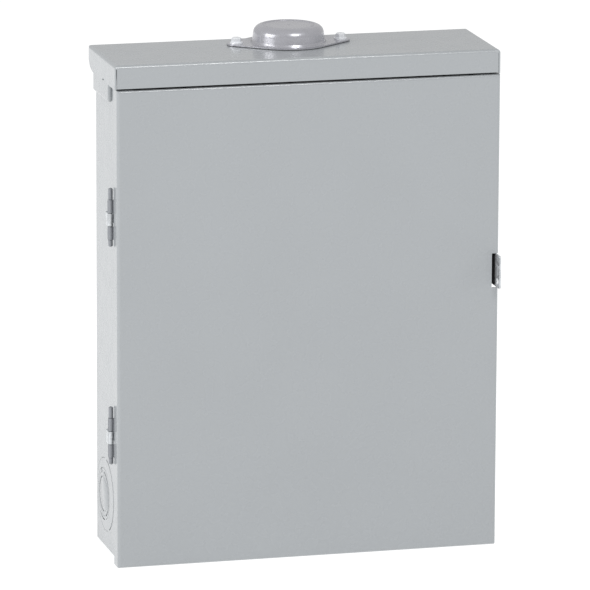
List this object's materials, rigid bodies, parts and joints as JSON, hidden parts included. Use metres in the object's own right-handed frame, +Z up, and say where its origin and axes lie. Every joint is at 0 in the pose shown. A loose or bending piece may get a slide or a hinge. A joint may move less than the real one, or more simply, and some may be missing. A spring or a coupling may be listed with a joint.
{
  "type": "outdoor load center",
  "caption": "Wall-mounted rainproof load center: folded steel case with drip hood and hub plate, left-hinged door with padlock hasp, and a plug-on breaker interior behind a deadfront.",
  "frame": {"origin": "middle of the four wall holes in the back panel, on the wall plane", "axes": "+Z up along the case, +Y into the wall, +X to the latch side seen from the front"},
  "size_m": [0.3823, 0.128, 0.5098],
  "materials": {
    "case_enamel": "semi-gloss light grey baked enamel",
    "deadfront_enamel": "semi-gloss light grey baked enamel",
    "die_cast": "die-cast, satin",
    "bright_zinc": "bright zinc plate",
    "galvanised": "galvanised sheet",
    "gasket_rubber": "matt",
    "card": "uncoated card",
    "bus_moulding": "glass-filled moulding",
    "bus_metal": "tin-plated",
    "lug_metal": "extruded, plain",
    "standoff_moulding": "white moulding",
    "green_screw": "green dyed",
    "breaker_black": "moulded phenolic",
    "handle_black": "moulded, glossy"
  },
  "bodies": {
    "enclosure": {"enclosure_wrap": "case_enamel", "bottom_end_wall": "case_enamel", "top_end_wall_hood": "case_enamel", "hub_closing_plate": "die_cast", "hub_gasket": "gasket_rubber", "hub_screws": "bright_zinc", "hinge_box_leaf_upper": "galvanised", "hinge_box_leaf_lower": "galvanised", "hinge_pin_upper": "case_enamel", "hinge_pin_lower": "case_enamel", "latch_hasp": "galvanised", "hasp_rivets": "bright_zinc", "interior_pan": "galvanised", "pan_screws": "bright_zinc", "bus_base": "bus_moulding", "bus_bar_a": "bus_metal", "bus_bar_b": "bus_metal", "breaker_rail_left": "galvanised", "breaker_rail_right": "galvanised", "neutral_standoff_left": "standoff_moulding", "neutral_standoff_right": "standoff_moulding", "neutral_bar_left": "lug_metal", "neutral_bar_right": "lug_metal", "neutral_screws": "bright_zinc", "neutral_strap": "bus_metal", "neutral_lug": "lug_metal", "bonding_screw": "green_screw", "ground_bar": "lug_metal", "ground_screws": "bright_zinc", "main_breaker_case": "breaker_black", "main_breaker_lugs": "lug_metal", "lug_screws": "lug_metal", "terminal_screws": "bright_zinc", "deadfront_cover": "deadfront_enamel", "deadfront_screws": "bright_zinc", "breaker_case_1": "breaker_black", "breaker_case_2": "breaker_black", "breaker_case_3": "breaker_black", "breaker_case_4": "breaker_black", "breaker_case_5": "breaker_black", "breaker_case_6": "breaker_black", "breaker_case_7": "breaker_black", "breaker_case_8": "breaker_black"},
    "door": {"door_panel": "case_enamel", "directory_card": "card", "hinge_door_leaf_upper": "case_enamel", "hinge_door_leaf_lower": "case_enamel"},
    "main_breaker_handle": {"main_breaker_handle": "handle_black"},
    "breaker_handle_1": {"breaker_handle_1": "handle_black"},
    "breaker_handle_2": {"breaker_handle_2": "handle_black"},
    "breaker_handle_3": {"breaker_handle_3": "handle_black"},
    "breaker_handle_4": {"breaker_handle_4": "handle_black"},
    "breaker_handle_5": {"breaker_handle_5": "handle_black"},
    "breaker_handle_6": {"breaker_handle_6": "handle_black"},
    "breaker_handle_7": {"breaker_handle_7": "handle_black"},
    "breaker_handle_8": {"breaker_handle_8": "handle_black"}
  },
  "joints": [
    {"name": "door_hinge", "type": "hinge", "parent": "enclosure", "child": "door", "pos_m": [-0.189, -0.0943, -0.014], "axis": [0, 0, -1], "range_deg": [0, 160]},
    {"name": "main_breaker_toggle", "type": "hinge", "parent": "enclosure", "child": "main_breaker_handle", "pos_m": [0, -0.086, 0.139], "axis": [1, 0, 0], "range_deg": [0, 40]},
    {"name": "breaker_1_toggle", "type": "hinge", "parent": "enclosure", "child": "breaker_handle_1", "pos_m": [-0.031, -0.088, 0.0576], "axis": [0, 0, -1], "range_deg": [0, 40]},
    {"name": "breaker_2_toggle", "type": "hinge", "parent": "enclosure", "child": "breaker_handle_2", "pos_m": [-0.031, -0.088, 0.0195], "axis": [0, 0, -1], "range_deg": [0, 40]},
    {"name": "breaker_3_toggle", "type": "hinge", "parent": "enclosure", "child": "breaker_handle_3", "pos_m": [-0.031, -0.088, -0.0059], "axis": [0, 0, -1], "range_deg": [0, 40]},
    {"name": "breaker_4_toggle", "type": "hinge", "parent": "enclosure", "child": "breaker_handle_4", "pos_m": [-0.031, -0.088, -0.0313], "axis": [0, 0, -1], "range_deg": [0, 40]},
    {"name": "breaker_5_toggle", "type": "hinge", "parent": "enclosure", "child": "breaker_handle_5", "pos_m": [0.031, -0.088, 0.0576], "axis": [0, 0, 1], "range_deg": [0, 40]},
    {"name": "breaker_6_toggle", "type": "hinge", "parent": "enclosure", "child": "breaker_handle_6", "pos_m": [0.031, -0.088, 0.0195], "axis": [0, 0, 1], "range_deg": [0, 40]},
    {"name": "breaker_7_toggle", "type": "hinge", "parent": "enclosure", "child": "breaker_handle_7", "pos_m": [0.031, -0.088, -0.0059], "axis": [0, 0, 1], "range_deg": [0, 40]},
    {"name": "breaker_8_toggle", "type": "hinge", "parent": "enclosure", "child": "breaker_handle_8", "pos_m": [0.031, -0.088, -0.0313], "axis": [0, 0, 1], "range_deg": [0, 40]}
  ]
}
